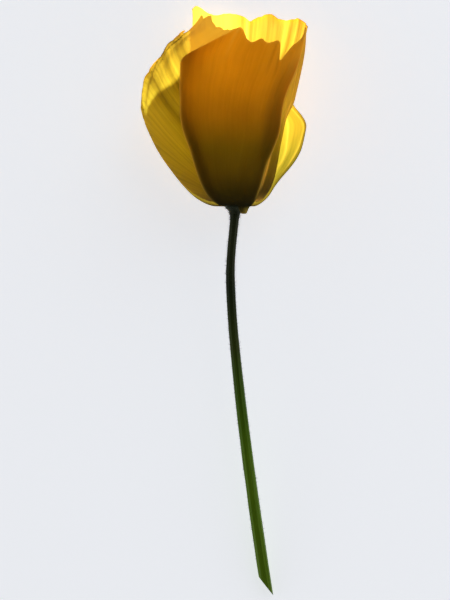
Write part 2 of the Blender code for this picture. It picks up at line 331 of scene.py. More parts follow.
# The cup is a stack of ovals from the receptacle to the mouth, in millimetres.
# Each row: share of the way up, height, reach to the left, reach to the right, half of the depth.
cup = (
    (0.00, 0.8, 3.25, 3.25, 3.25),
    (0.10, -0.1, 6.3, 6.3, 5.8),
    (0.22, 2.3, 11.8, 9.3, 10.0),
    (0.36, 9.0, 18.3, 12.4, 14.3),
    (0.50, 17.0, 23.3, 14.8, 17.4),
    (0.64, 26.0, 26.3, 16.6, 19.0),
    (0.78, 35.0, 25.5, 18.6, 19.0),
    (0.90, 43.0, 21.8, 20.0, 18.0),
    (1.00, 50.0, 15.7, 20.4, 16.6),
    (1.08, 55.0, 14.4, 20.6, 15.6),
)

# What all petals share, in millimetres unless the name says otherwise. A pair of shares is where a thing
# starts and where it is whole on the way up. Each use of the random hills reads a row of its own.
petalForm = {
    "rows": 190,
    "columns": 224,
    "layerGap": 0.6,
    "thinnest": 0.14,
    "thickest": 0.34,
    "thinnedAt": 0.6,               # share of the way up where it is thinnest
    "crumples": ((0.45, 5, 2.2, 1.3), (0.30, 9, -3.0, 0.4), (0.16, 15, 4.0, 2.1)),
    "crumpleShares": (0.25, 1.0),
    "edgeWobble": (0.5, 16, (0.3, 0.6)),    # degrees, hills, shares
    "rimRuffle": 0.7,
    "rimRufflesAcross": 3.5,
    "rimRufflePower": 5,            # the higher, the closer to the rim
    "flareShares": ((0.26, 0.5), (0.57, 0.68)),
    "curlAcross": (0.6, 1.0),
    "curlShares": (0.42, 0.6),
    "marginCurlWidth": 0.4,
    "marginCurlShares": ((0.08, 0.2), (0.5, 0.65)),
    "footLobe": ((0.0, 0.6), 0.045, 0.035),     # across, share, half width
    "pleatRise": 0.16,
    "pleatDrift": (0.02, 7, 11),    # amount, hills along, step between rows of hills
    # pleats carry painted shade in their dips and painted highlights on their ridges
    "pleatShade": 1.2,              # how dark a dip is, and how bright a ridge is
    "pleatShine": -2.0,
    # patches of painted shade along the rim
    "rimCreaseShade": (0.4, (0.93, 1.0), 7),           # amount, places along, hills
    "crepeAcross": 34,              # fine pleats pressed in by the bud
    "crepeAlong": 3.0,
    "finerCrepe": (0.5, 2.3, 7.0),  # amount, times as many across, number along
    "crepeShares": (0.2, 0.8),
    "glintLineEnd": 0.1,
    # pale places: painted highlights along the margins
    "paleWidth": 0.3,
    "paleAcross": (-0.2, 0.2),
    "paleShares": (0.1, 0.3),
    "paleFootShares": (0.12, 0.24),
    "lobePale": 0.1,
    "warmRimWidth": 0.7,
    "warmRimPatches": (0.6, 1.3, 6),            # level, swing, hills
    "hillRow": {"scallop": 0.5, "fineScallop": 7.5, "edge": 3.5, "rimCreaseShade": 2.5, "warmRim": 4.5},
    "restingHeight": 0.02,
    "restingSoftness": 1.2,
}

# Each petal is a patch of the cup. An angle of 0 is to the right, 90 up and 180 to the left.
# leftEdge and rightEdge: (share of the way up, angle). topEdge: (-1 left to 1 right, height).
# flare: how far a flank opens, and between which places across. hiddenCurl: how far in the covered side
# curls, and which side. marginCurl: how far out the side margins curl.
# warm: lemon 0 to orange 1, the orange being painted shade where a petal lies behind others: the value
# elsewhere, the value where x is past the first pair and the share past the second. warmRim: orange at the
# top edge. paintedLight: a painted
# bright patch where light comes through: amount, the shares it rises between, the x it rises between and the
# x it falls
# between. paleMargin: painted highlights along the left, top and right margins.
# pleats: (grain, depth, half width, share where it starts). Grain is the place across, from -1 to 1, or
# on a petal with a fan, twice the angle that a vein makes with y where it leaves the fan's (x, y).
# notches: (-1 left to 1 right, depth, half width). glintLines: painted highlights, thin bright lines through
# (share, angle) knots, with half width in degrees and amount.
petals = {
    "petal_front_outer_fine": {
        "node": "petal_front_outer", "layer": 1, "seed": 3,
        "leftEdge": (
            (0.0, 122), (0.25, 123), (0.36, 119), (0.46, 117), (0.52, 118), (0.585, 118), (0.65, 117),
            (0.72, 118.5), (0.78, 120), (0.84, 123), (0.9, 123), (1.0, 123)),
        "rightEdge": (
            (0.0, 50), (0.19, 50), (0.285, 48), (0.395, 45), (0.46, 40), (0.53, 35.5), (0.64, 35.5),
            (0.72, 33), (0.8, 27.5), (0.9, 23), (1.0, 19)),
        "topEdge": (
            (-1.0, 37.3), (-0.97, 38.4), (-0.92, 39.5), (-0.78, 41.2), (-0.666, 42.7), (-0.565, 43.8),
            (-0.5, 44.8), (-0.42, 46.2), (-0.34, 47.3), (-0.28, 46.6), (-0.2, 45.3), (-0.13, 44.0),
            (-0.05, 43.2), (0.06, 44.0), (0.17, 42.9), (0.27, 43.4), (0.37, 43.4), (0.41, 43.0),
            (0.46, 41.3), (0.53, 38.6), (0.57, 39.7), (0.63, 41.8), (0.8, 44.8), (1.0, 48.2)),
        "scallop": 0.25, "scallops": 18, "flare": 0.0, "flareAcross": (0.5, 1.0), "baseLobe": 2.6,
        "marginCurl": 0.35, "crepe": 0.03, "hiddenCurl": (0.0, 1),
        "warm": (1.0, 1.0, (-1.0, 1.0), (0.0, 1.0)), "warmRim": 0.0,
        "paintedLight": (0.12, (0.72, 0.84), (10.0, 15.0), (40.0, 41.0)),
        "paleMargin": (0.9, 0.3, 1.0), "paleFoot": 0.0,
        "pleats": (
            (0.33, 0.25, 0.035, 0.72), (-0.34, -0.15, 0.03, 0.8), (0.5, 0.3, 0.035, 0.72),
            (-0.86, 0.2, 0.17, 0.28), (0.68, 0.26, 0.18, 0.3)),
        "notches": (), "fan": None, "glintLines": (),
    },
    "petal_back_outer_fine": {
        "node": "petal_back_outer", "layer": 1, "seed": 8,
        "leftEdge": (
            (0.0, 207), (0.4, 206), (0.55, 206), (0.63, 212.8), (0.677, 220.8), (0.7, 225.5), (0.755, 239),
            (0.82, 242), (0.88, 242), (0.92, 236.5), (0.99, 223.8), (1.06, 217.4)),
        "rightEdge": (
            (0.0, 326), (0.12, 328), (0.22, 340), (0.3, 346), (0.5, 353), (0.6, 350), (0.66, 338),
            (0.73, 327), (0.84, 329), (0.92, 335), (1.0, 339)),
        "topEdge": (
            (-1.0, 54.0), (-0.95, 54.6), (-0.85, 54.4), (-0.73, 53.1), (-0.6, 52.5), (-0.39, 52.8),
            (-0.25, 52.5), (-0.153, 51.9), (-0.085, 50.8), (-0.03, 51.4), (0.056, 52.2), (0.232, 52.8),
            (0.358, 51.7), (0.495, 51.1), (0.694, 51.4), (0.855, 50.6), (1.0, 49.0)),
        "scallop": 0.25, "scallops": 22, "flare": 3.4, "flareAcross": (0.5, 1.0), "baseLobe": 0.0,
        "marginCurl": 0.0, "crepe": 0.06, "hiddenCurl": (0.0, 1),
        "warm": (0.26, 0.6, (9.0, 14.0), (0.75, 0.6)), "warmRim": 1.0,
        "paintedLight": (0.8, (0.78, 0.9), (-13.5, -11.0), (-3.0, 3.0)),
        "paleMargin": (0.2, 0.0, 0.0), "paleFoot": 0.0,
        "pleats": (
            (-0.12, -0.4, 0.03, 0.8), (0.5, -0.2, 0.04, 0.7), (-0.5, 0.15, 0.02, 0.8), (0.2, 0.15, 0.02, 0.8),
            (0.62, 0.25, 0.025, 0.3), (0.72, -0.2, 0.02, 0.3), (0.8, 0.15, 0.015, 0.3),
            (0.9, -0.2, 0.02, 0.3)),
        "notches": (), "fan": None,
        "glintLines": ((((0.2, 293.0), (0.31, 299.0), (0.38, 304.0), (0.5, 312.0)), 2.4, 0.8),),
    },
    "petal_left_inner_fine": {
        "node": "petal_left_inner", "layer": -1, "seed": 5,
        "leftEdge": (
            (0.0, 216), (0.3, 216), (0.5, 213), (0.57, 207), (0.62, 193), (0.66, 184), (0.78, 182),
            (1.0, 182)),
        "rightEdge": (
            (0.0, 110), (0.3, 108), (0.5, 108), (0.62, 113), (0.84, 114), (0.9, 109), (0.94, 100), (0.96, 94),
            (1.0, 92)),
        "topEdge": (
            (-1.0, 26.0), (-0.957, 28.5), (-0.87, 33.2), (-0.7, 36.8), (-0.543, 40.4), (-0.348, 43.2),
            (-0.233, 46.0), (-0.12, 47.0), (-0.06, 47.0), (-0.02, 47.2), (0.004, 49.2), (0.025, 50.3),
            (0.15, 50.5), (0.291, 50.8), (0.36, 50.6), (0.42, 49.7), (0.5, 48.6), (0.58, 47.9),
            (0.643, 47.5), (1.0, 47.4)),
        "scallop": 0.45, "scallops": 20, "flare": 0.0, "flareAcross": (0.5, 1.0), "baseLobe": 0.0,
        "marginCurl": 0.0, "crepe": 0.1, "hiddenCurl": (1.6, 1),
        "warm": (0.0, 0.85, (-13.2, -11.0), (0.6, 0.75)), "warmRim": 0.7,
        "paintedLight": (1.0, (0.78, 0.9), (-13.2, -11.5), (-3.0, 3.0)),
        "paleMargin": (0.3, 0.1, 0.5), "paleFoot": 0.0,
        "pleats": (
            (-0.6, 0.5, 0.07, 0.6), (-0.84, 0.5, 0.03, 0.55), (-1.12, 0.45, 0.075, 0.45),
            (-0.9, 0.3, 0.014, 0.6), (-0.72, 0.2, 0.012, 0.65), (-0.66, 0.25, 0.014, 0.7),
            (-1.0, 0.2, 0.014, 0.5)),
        "notches": ((-0.06, 0.8, 0.025), (-0.45, 0.8, 0.025), (-0.8, 0.8, 0.03)), "fan": (-2.0, 0.0),
        "glintLines": (),
    },
    "petal_right_inner_fine": {
        "node": "petal_right_inner", "layer": -1, "seed": 13,
        "leftEdge": (
            (0.0, 62), (0.17, 58), (0.3, 54), (0.46, 50), (0.6, 46), (0.72, 42), (0.85, 35), (1.0, 31)),
        "rightEdge": ((0.0, -48), (0.12, -46), (0.25, -40), (0.5, -52), (1.0, -52)),
        "topEdge": (
            (-1.0, 38.5), (-0.67, 40.6), (-0.38, 44.2), (-0.15, 47.6), (0.0, 48.0), (0.2, 45.8),
            (0.42, 42.0), (0.67, 38.0), (1.0, 34.0)),
        "scallop": 0.35, "scallops": 14, "flare": -1.4, "flareAcross": (-1.2, -1.0), "baseLobe": 0.0,
        "marginCurl": 0.0, "crepe": 0.08, "hiddenCurl": (2.0, -1),
        "warm": (0.2, 0.5, (-1.0, 1.0), (0.58, 0.42)), "warmRim": 0.5,
        "paintedLight": (0.35, (0.5, 0.65), (11.0, 14.0), (40.0, 41.0)),
        "paleMargin": (0.5, 0.2, 0.5), "paleFoot": 0.85,
        "pleats": ((-0.4, 0.35, 0.03, 0.5), (-0.1, 0.4, 0.03, 0.6), (0.3, 0.3, 0.03, 0.55)),
        "notches": (), "fan": None,
        "glintLines": (
            (((0.2, 40.0), (0.31, 38.0), (0.38, 34.0), (0.5, 27.0)), 2.0, 1.0),
            (((0.4, 13.5), (0.56, 11.5), (0.67, 14.0), (0.84, 17.0)), 1.0, 0.8),
            (((0.45, 6.0), (0.56, 5.0), (0.67, 8.0), (0.8, 10.0)), 0.8, 0.4)),
    },
}


def cupColumn(index, share):
    # one column of the cup's rows, smoothly, at a share of the way up
    return through([(row[0], row[index]) for row in cup], share)


def cupPoint(angle, share):
    # an oval round the axis: its middle and its two half widths change with the share of the way up
    left, right = cupColumn(2, share), cupColumn(3, share)
    x = (right - left) / 2 + (right + left) / 2 * np.cos(angle)
    return np.stack([x, cupColumn(1, share), cupColumn(4, share) * np.sin(angle)], axis=-1)


def cupNormal(angle, share):
    # square to two short steps on the cup, one round it and one up it
    step = 1e-3
    across = cupPoint(angle + step, share) - cupPoint(angle - step, share)
    along = cupPoint(angle, share + step) - cupPoint(angle, np.maximum(share - step, 0.0))
    normal = np.cross(along, across)
    return normal / np.linalg.norm(normal, axis=-1, keepdims=True)


def shareAtHeight(height):
    # heights rise all the way from the cup's lowest row
    shares = np.linspace(0.1, cup[-1][0], 200)
    return np.interp(height, cupColumn(1, shares), shares)


def petalPlaces(petal):
    # The petal's grid. across goes from -1 at its left edge to 1 at its right, and along from 0 at its foot
    # to 1 at its scalloped and notched top. share and angle say where that is on the cup, grain on which
    # vein, and fromSide and fromTop how far from the edges.
    form, seed, hillRow = petalForm, petal["seed"], petalForm["hillRow"]
    across, along = np.meshgrid(np.linspace(-1, 1, form["columns"]), np.linspace(0, 1, form["rows"]))
    top = through(petal["topEdge"], across)
    top += petal["scallop"] * roll(across * petal["scallops"] / 2, hillRow["scallop"], seed)
    top += petal["scallop"] / 2 * roll(across * petal["scallops"], hillRow["fineScallop"], seed)
    for centre, depth, halfWidth in petal["notches"]:
        top -= depth * np.exp(-np.abs(across - centre) / halfWidth)
    share = along * shareAtHeight(top)
    left = through(petal["leftEdge"], share)
    right = through(petal["rightEdge"], share)
    amount, hills, shares = form["edgeWobble"]
    wobble = amount * ease(share, *shares) * roll(share * hills, hillRow["edge"], seed)
    angle = np.radians(left + (right - left) * (across + 1) / 2 + wobble * across)
    grain = across
    if petal["fan"]:
        fromFan = cupPoint(angle, share)[..., :2] - petal["fan"]
        grain = 2 * np.arctan2(fromFan[..., 0], fromFan[..., 1])
    halfWidth = np.radians(np.abs(right - left)) * cupColumn(4, share) / 2
    return {"across": across, "along": along, "share": share, "angle": angle, "grain": grain,
            "fromSide": (1 - np.abs(across)) * halfWidth, "fromTop": (1 - along) * top}


def petalCreases(petal, place):
    # Each pleat falls away from its line of grain: how deep it dips, how dark the painted shade in its fold
    # is and how bright the painted highlight on its ridge. Glint lines are painted highlights too, with no
    # depth. Patches near the rim get painted shade as well.
    form, share, along = petalForm, place["share"], place["along"]
    dip, ridgeHighlight = np.zeros_like(share), np.zeros_like(share)
    amount, places, hills = form["rimCreaseShade"]
    rimHills = roll(place["across"] * hills, form["hillRow"]["rimCreaseShade"], petal["seed"])
    fold = amount * ease(along, *places) * np.clip(rimHills, 0, 1)
    amount, hills, rowStep = form["pleatDrift"]
    for centre, depth, halfWidth, start in petal["pleats"]:
        drift = amount * roll(along * hills, rowStep * centre, petal["seed"])
        off = np.abs(place["grain"] - centre - drift) / halfWidth
        rises = ease(share, start, start + form["pleatRise"])
        dip += depth * np.exp(-off) * rises
        fold += np.clip(form["pleatShade"] * depth, 0, 1) * np.exp(-off**2) * rises
        ridgeHighlight += np.clip(form["pleatShine"] * depth, 0, 1) * np.exp(-off**2) * rises
    for line, halfWidth, amount in petal["glintLines"]:
        start, end = line[0][0], line[-1][0]
        off = (np.degrees(place["angle"]) - through(line, share)) / halfWidth
        reached = band(share, (start, start + form["glintLineEnd"]), (end - form["glintLineEnd"], end))
        ridgeHighlight += amount * np.exp(-off**2) * reached
    return dip, fold, ridgeHighlight


def petalLobe(place):
    # how much of a point belongs to the small lobe that hangs down right of the foot
    across, share, halfWidth = petalForm["footLobe"]
    return ease(place["across"], *across) * np.exp(-(((place["share"] - share) / halfWidth) ** 2))


def petalMiddle(petal, place, dip):
    # Middle of the petal: the cup's surface pushed out or in along its normal by the petal's layer, by
    # soft crumples, ruffles at the rim, flare, curls, pleats and fine crepe.
    form, layer, seed = petalForm, petal["layer"], petal["seed"]
    across, along, share = place["across"], place["along"], place["share"]
    angle, grain = place["angle"], place["grain"]
    lift = layer * form["layerGap"] * np.ones_like(share)
    for height, waves, turn, start in form["crumples"]:
        lift += height * ease(share, *form["crumpleShares"]) * np.sin(waves * angle + turn * share + start)
    ruffle = 0.5 + 0.5 * np.sin(form["rimRufflesAcross"] * math.pi * across)
    lift += layer * form["rimRuffle"] * along**form["rimRufflePower"] * ruffle
    lift += petal["flare"] * ease(across, *petal["flareAcross"]) * band(share, *form["flareShares"])
    curl, side = petal["hiddenCurl"]
    lift -= curl * ease(side * across, *form["curlAcross"]) * ease(share, *form["curlShares"])
    lift -= dip
    amount, finer, finerAlong = form["finerCrepe"]
    crepe = roll(grain * form["crepeAcross"], along * form["crepeAlong"], seed + 1)
    crepe += amount * roll(grain * form["crepeAcross"] * finer, along * finerAlong, seed + 2)
    lift += petal["crepe"] * ease(share, *form["crepeShares"]) * crepe
    margin = np.exp(-place["fromSide"] / form["marginCurlWidth"])
    lift += petal["marginCurl"] * margin * band(share, *form["marginCurlShares"])
    points = cupPoint(angle, share) + lift[..., None] * cupNormal(angle, share)
    points[..., 1] -= petal["baseLobe"] * petalLobe(place)
    return points


def petalMarks(petal, place, points, fold, ridgeHighlight):
    # what the petal tells its material: fold darkens as painted shade, pale is painted highlight on margins,
    # ridges, glint lines and the paintedLight patch, and warm goes from lemon to orange, its orange mostly
    # painted shade
    form, share, across = petalForm, place["share"], place["across"]
    leftPale, topPale, rightPale = petal["paleMargin"]
    sidePale = leftPale + (rightPale - leftPale) * ease(across, *form["paleAcross"])
    pale = sidePale * np.exp(-place["fromSide"] / form["paleWidth"]) * ease(share, *form["paleShares"])
    pale += topPale * np.exp(-place["fromTop"] / form["paleWidth"]) + ridgeHighlight
    pale += petal["paleFoot"] * (1 - ease(share, *form["paleFootShares"]))
    pale += form["lobePale"] * petal["baseLobe"] * petalLobe(place)
    # painted light: a bright patch where light would come straight through
    amount, shares, rise, fall = petal["paintedLight"]
    pale += amount * ease(share, *shares) * band(points[..., 0], rise, fall)
    # warm is orange: painted shade where a petal lies behind others, with orange along the top edge
    fromWarm, toWarm, aside, shares = petal["warm"]
    warm = fromWarm + (toWarm - fromWarm) * ease(points[..., 0], *aside) * ease(share, *shares)
    level, swing, hills = form["warmRimPatches"]
    patches = np.clip(level + swing * roll(across * hills, form["hillRow"]["warmRim"], petal["seed"]), 0, 1)
    warm += petal["warmRim"] * np.exp(-place["fromTop"] / form["warmRimWidth"]) * patches
    return {"fold": np.clip(fold, 0, 1), "pale": np.clip(pale, 0, 1), "warm": np.clip(warm, 0, 1)}


def restOnSurface(points, lowest):
    # what would sink into the surface is raised, and its height eases into the lowest
    over = receptacle[2] + points @ flowerUp - lowest
    raised = (np.sqrt(over**2 + petalForm["restingSoftness"]**2) - over) / 2
    return points + raised[..., None] * flowerUp


def makePetal(name, petal, finish):
    # a closed shell: the middle surface moved half a thickness to each side, and a strip round the edge
    form, place = petalForm, petalPlaces(petal)
    dip, fold, ridgeHighlight = petalCreases(petal, place)
    middle = petalMiddle(petal, place, dip)
    marks = petalMarks(petal, place, middle, fold, ridgeHighlight)
    middle = restOnSurface(middle, form["restingHeight"] + form["layerGap"] * (1 - petal["layer"]))
    normal = np.cross(np.gradient(middle, axis=0), np.gradient(middle, axis=1))
    normal /= np.linalg.norm(normal, axis=-1, keepdims=True)
    atFoot = 1 - ease(place["share"], 0, form["thinnedAt"])
    thick = form["thinnest"] + (form["thickest"] - form["thinnest"]) * atFoot
    half = (thick / 2)[..., None] * normal
    rows, columns = form["rows"], form["columns"]
    count = rows * columns
    points = toWorld(np.concatenate([(middle + half).reshape(-1, 3), (middle - half).reshape(-1, 3)]))
    front = gridFaces(rows, columns)
    index = np.arange(count).reshape(rows, columns)
    border = np.concatenate([index[0, :-1], index[:-1, -1], index[-1, :0:-1], index[:0:-1, 0]])
    after = np.roll(border, -1)
    rim = np.stack([after, border, border + count, after + count], axis=-1)
    faces = [front, front[:, ::-1] + count, rim]
    uv = np.stack([(place["grain"] + 1) / 2, place["share"]], axis=-1).reshape(-1, 2)
    values = {key: np.tile(mark.ravel(), 2) for key, mark in marks.items()}
    addPiece(name, points, faces, [finish], [petal["node"]], np.tile(uv, (2, 1)), values)


petalFinish = makePetalSkin(petalSkin)
for petalName, petalValues in petals.items():
    makePetal(petalName, petalValues, petalFinish)
print("petals made")


# Middle line from the receptacle to a little past the cut: x, y, z, radius, in millimetres.
stem = {
    "line": (
        (0.0, 1.4, 0.0, 3.1), (0.0, -0.9, 0.0, 2.8), (0.0, -2.4, 0.0, 1.65), (-0.2, -5.0, 0.0, 1.22),
        (-1.1, -15.0, -0.1, 1.17), (-1.2, -23.0, -0.2, 1.24), (-0.2, -38.0, -0.6, 1.28),
        (2.3, -61.0, -1.8, 1.45), (5.6, -86.0, -3.7, 1.58), (9.2, -110.0, -6.0, 1.6)),
    "cutAt": (8.0, -105.0, -5.3),
    "cutSlopeDegrees": 52,
    "cutRings": ((0.86, 0.0), (0.6, 0.12), (0.3, 0.2)),     # size against the rim, and how far sunk
    "cutMiddle": 0.22,
    "rings": 420,
    "sides": 48,
    "ribs": 9,
    "ribHeight": 0.035,         # share of the radius
    "ribTurn": 3,               # radians from end to end
    "ribShares": (0.1, 0.3),
    "bumps": (0.03, 2, 40, 31),     # share of the radius, hills to a radian, hills along, seed
}

# Bristles all over the stem, in millimetres unless a note says otherwise.
bristles = {
    "seed": 21,
    "count": 2000,
    "between": (0.03, 0.945),   # shares of the stem's line
    "length": (0.3, 0.95),
    "radius": 0.028,
    "taper": (1.0, 0.7, 0.15),
    "rootDepth": 0.97,          # share of the stem's radius
    "lean": (0.15, 0.28),       # towards the flower: middle and spread
    "twist": 0.25,
    "bend": 0.12,
    "lowest": 0.05,
}

# Stem skin: green bark cells in long rows, waxy, over a pale pith. It gives a dark satin green with fine
# lengthwise streaks, with painted shade that darkens it to nearly black close under the flower.
stemSkin = {
    # painted shade: the green darkens towards 0, under the flower
    "stops": (
        (0.0, "#262c16"), (0.42, "#32381c"), (0.56, "#222c10"), (0.6, "#2a3510"), (0.68, "#3e4912"),
        (0.75, "#496b08"), (0.82, "#5f820d"), (1.0, "#658510")),
    "streaksRound": 30,
    "roughness": 0.5,
}


def makeStemSkin(look):
    material, tree = newMaterial("poppyStemBark")
    uv = addNode(tree, "ShaderNodeUVMap", {"uv_map": "UVMap"}).outputs["UV"]
    down = addNode(tree, "ShaderNodeSeparateXYZ", sockets={"Vector": uv}).outputs["Y"]
    stretched = addNode(tree, "ShaderNodeMapping", sockets={
        "Vector": uv, "Scale": (look["streaksRound"], 9.0, 1.0)}).outputs["Vector"]
    streaks = addNode(tree, "ShaderNodeTexNoise", sockets={
        "Vector": stretched, "Scale": 1.0, "Detail": 3.0, "Roughness": 0.6}).outputs["Fac"]
    shade = addNode(tree, "ShaderNodeMapRange", sockets={
        "Value": streaks, "From Min": 0.3, "From Max": 0.7, "To Min": 0.6, "To Max": 1.25}).outputs["Result"]
    green = addNode(tree, "ShaderNodeValToRGB", {"stops": look["stops"]}, {"Fac": down}).outputs["Color"]
    colour = addNode(tree, "ShaderNodeMix", {"data_type": "RGBA", "blend_type": "MULTIPLY"}, {
        0: 1.0, 6: green, 7: shade}).outputs[2]
    bump = addNode(tree, "ShaderNodeBump", sockets={
        "Strength": 0.4, "Distance": 0.06 * mm, "Height": streaks}).outputs["Normal"]
    skin = addNode(tree, "ShaderNodeBsdfPrincipled", sockets={
        "Base Color": colour, "Roughness": look["roughness"], "Specular IOR Level": 0.12, "Normal": bump})
    addNode(tree, "ShaderNodeOutputMaterial", sockets={"Surface": skin.outputs[0]})
    return material


# Cut face: wet pith inside a ring of bark. It gives a pale green middle that darkens to the rim.
cutFace = {
    "stops": ((0.0, "#9aa860"), (0.5, "#8c9c50"), (0.8, "#5f7030"), (1.0, "#35461a")),
    "cellMm": 0.25,
    "roughness": 0.35,
}


def makeCutFace(look):
    material, tree = newMaterial("cutStemPith")
    edge = addNode(tree, "ShaderNodeAttribute", {"attribute_name": "edge"}).outputs["Fac"]
    colour = addNode(tree, "ShaderNodeValToRGB", {"stops": look["stops"]}, {"Fac": edge}).outputs["Color"]
    where = addNode(tree, "ShaderNodeTexCoord").outputs["Object"]
    cells = addNode(tree, "ShaderNodeTexVoronoi", sockets={
        "Vector": where, "Scale": 1 / (look["cellMm"] * mm)})
    bump = addNode(tree, "ShaderNodeBump", sockets={
        "Strength": 0.5, "Distance": 0.05 * mm, "Height": cells.outputs["Distance"]}).outputs["Normal"]
    pith = addNode(tree, "ShaderNodeBsdfPrincipled", sockets={
        "Base Color": colour, "Roughness": look["roughness"], "Normal": bump})
    addNode(tree, "ShaderNodeOutputMaterial", sockets={"Surface": pith.outputs[0]})
    return material


# Bristle: a clear stiff hair. It gives a faint pale fuzz against the dark stem.
bristle = {"offColour": "#4a4a26", "throughColour": "#5a5a30", "throughShare": 0.5, "roughness": 0.5}


def makeBristle(look):
    material, tree = newMaterial("poppyBristle")
    off = addNode(tree, "ShaderNodeBsdfPrincipled", sockets={
        "Base Color": hexToLinear(look["offColour"]), "Roughness": look["roughness"]})
    through = addNode(tree, "ShaderNodeBsdfTranslucent", sockets={
        "Color": hexToLinear(look["throughColour"])})
    mixed = addNode(tree, "ShaderNodeMixShader", sockets={
        0: look["throughShare"], 1: off.outputs[0], 2: through.outputs[0]})
    addNode(tree, "ShaderNodeOutputMaterial", sockets={"Surface": mixed.outputs[0]})
    return material


def stemLine(at):
    # the middle line and the radius at a share from 0 at the receptacle to 1 past the cut
    shares = np.linspace(0, 1, len(stem["line"]))
    rows = [through(list(zip(shares, values)), at) for values in zip(*stem["line"])]
    return np.stack(rows[:3], axis=-1), rows[3]


def sideways(line):
    # two directions square to a line: one near z, one square to both
    forward = np.gradient(line, axis=0)
    forward /= np.linalg.norm(forward, axis=-1, keepdims=True)
    out = np.cross(forward, [0.0, 0.0, 1.0])
    out /= np.linalg.norm(out, axis=-1, keepdims=True)
    return forward, out, np.cross(out, forward)


def stemPoint(at, angle):
    # a ring round the middle line, with shallow ribs that turn slowly with length
    line, radius = stemLine(at)
    _, out, up = sideways(line)
    down = at[:, None]
    ribs = 1 + stem["ribHeight"] * np.cos(stem["ribs"] * angle + stem["ribTurn"] * down) * ease(
        down, *stem["ribShares"])
    height, across, along, seed = stem["bumps"]
    ribs = ribs + height * roll(angle * across, down * along, seed)
    reach = radius[:, None] * ribs
    around = np.cos(angle)[..., None] * out[:, None] + np.sin(angle)[..., None] * up[:, None]
    return line[:, None] + reach[..., None] * around


def makeStem(skin, pith):
    # Each lengthwise line of the tube stops where it meets the slanted cutting plane.
    rings, sides = stem["rings"], stem["sides"]
    slope = math.radians(stem["cutSlopeDegrees"])
    plane = np.array([math.sin(slope), math.cos(slope), 0.0])
    angle = np.broadcast_to(np.linspace(0, 2 * math.pi, sides, endpoint=False), (rings, sides))
    dense = np.linspace(0, 1, rings)
    tube = stemPoint(dense, angle)
    beyond = (tube - np.array(stem["cutAt"])) @ plane
    ends = np.array([np.interp(0.0, -beyond[:, k], dense) for k in range(sides)])
    at = dense[:, None] * ends[None, :]
    points = np.stack([
        np.stack([np.interp(at[:, k], dense, tube[:, k, axis]) for axis in range(3)], axis=-1)
        for k in range(sides)], axis=1)
    centre = points[-1].mean(axis=0)
    shrink, hollow = np.array(stem["cutRings"]).T
    inner = centre + (points[-1] - centre) * shrink[:, None, None] + (hollow[:, None] * plane)[:, None]
    middles = [centre + stem["cutMiddle"] * plane, points[0].mean(axis=0)]
    flat = np.concatenate([points.reshape(-1, 3), inner.reshape(-1, 3), middles])
    body = gridFaces(rings, sides, closed=True)
    cap = gridFaces(len(shrink) + 1, sides, closed=True) + (rings - 1) * sides
    lastRing = np.arange(sides) + (rings + len(shrink) - 1) * sides
    faces = [body, cap, fan(lastRing, len(flat) - 2), fan(np.arange(sides), len(flat) - 1)[:, ::-1]]
    finishOf = np.concatenate([
        np.zeros(len(body)), np.ones(len(cap) + sides), np.zeros(sides)])
    turn = angle / (2 * math.pi)
    turn = np.concatenate([turn.ravel(), np.tile(turn[0], len(shrink)), [0, 0]])
    down = np.concatenate([at.ravel(), np.ones(len(shrink) * sides + 1), [0]])
    edge = np.concatenate([np.ones(rings * sides), np.repeat(shrink, sides), [0, 0]])
    mirrored = np.abs(turn * 2 - 1)  # the pattern meets itself without a seam
    addPiece("stem_fine", toWorld(flat), faces, [skin, pith], ["stem"],
             np.stack([mirrored, down], axis=-1), {"edge": edge}, finishOf)


def makeBristles(finish):
    # Every bristle is a bent three-sided spike, pointing out and a little towards the flower. Its points
    # are rings at its root, middle and tip.
    count = bristles["count"]
    draw = np.random.default_rng(bristles["seed"])
    at = np.sort(draw.uniform(*bristles["between"], count))
    angle = draw.uniform(0, 2 * math.pi, count)
    line, radius = stemLine(at)
    forward, out, up = sideways(line)
    forward = -np.stack([np.gradient(line[:, k]) for k in range(3)], axis=-1)
    forward /= np.linalg.norm(forward, axis=-1, keepdims=True) + 1e-9
    around = np.cos(angle)[:, None] * out + np.sin(angle)[:, None] * up
    root = line + around * (radius * bristles["rootDepth"])[:, None]
    length = draw.uniform(*bristles["length"], count)[:, None]
    lean = draw.normal(*bristles["lean"], (count, 1))
    twist = draw.normal(0.0, bristles["twist"], (count, 1))
    aside = np.cross(forward, around)
    heading = around + lean * forward + twist * aside
    heading /= np.linalg.norm(heading, axis=-1, keepdims=True)
    bend = draw.normal(0.0, bristles["bend"], (count, 1))
    sides, taper = 3, bristles["taper"]
    rings = []
    for s, thick in zip(np.linspace(0, 1, len(taper)), taper):
        middle = root + heading * length * s + forward * bend * length * s * s
        for k in range(sides):
            turn = 2 * math.pi * k / sides
            spoke = math.cos(turn) * forward + math.sin(turn) * aside
            rings.append(middle + spoke * bristles["radius"] * thick)
    points = np.stack(rings, axis=1)
    height = receptacle[2] + points @ flowerUp
    points = points + np.maximum(bristles["lowest"] - height, 0)[..., None] * flowerUp
    base = np.arange(count)[:, None] * len(rings)
    one = gridFaces(len(taper), sides, closed=True)
    quads = (base[:, None] + one).reshape(-1, 4)
    ends = np.array([[2, 1, 0], [6, 7, 8]])     # the root ring and the tip ring
    caps = (base[:, None] + ends).reshape(-1, 3)
    addPiece("stem_bristles", toWorld(points.reshape(-1, 3)), [quads, caps], [finish], [])


makeStem(makeStemSkin(stemSkin), makeCutFace(cutFace))
makeBristles(makeBristle(bristle))
print("stem made")


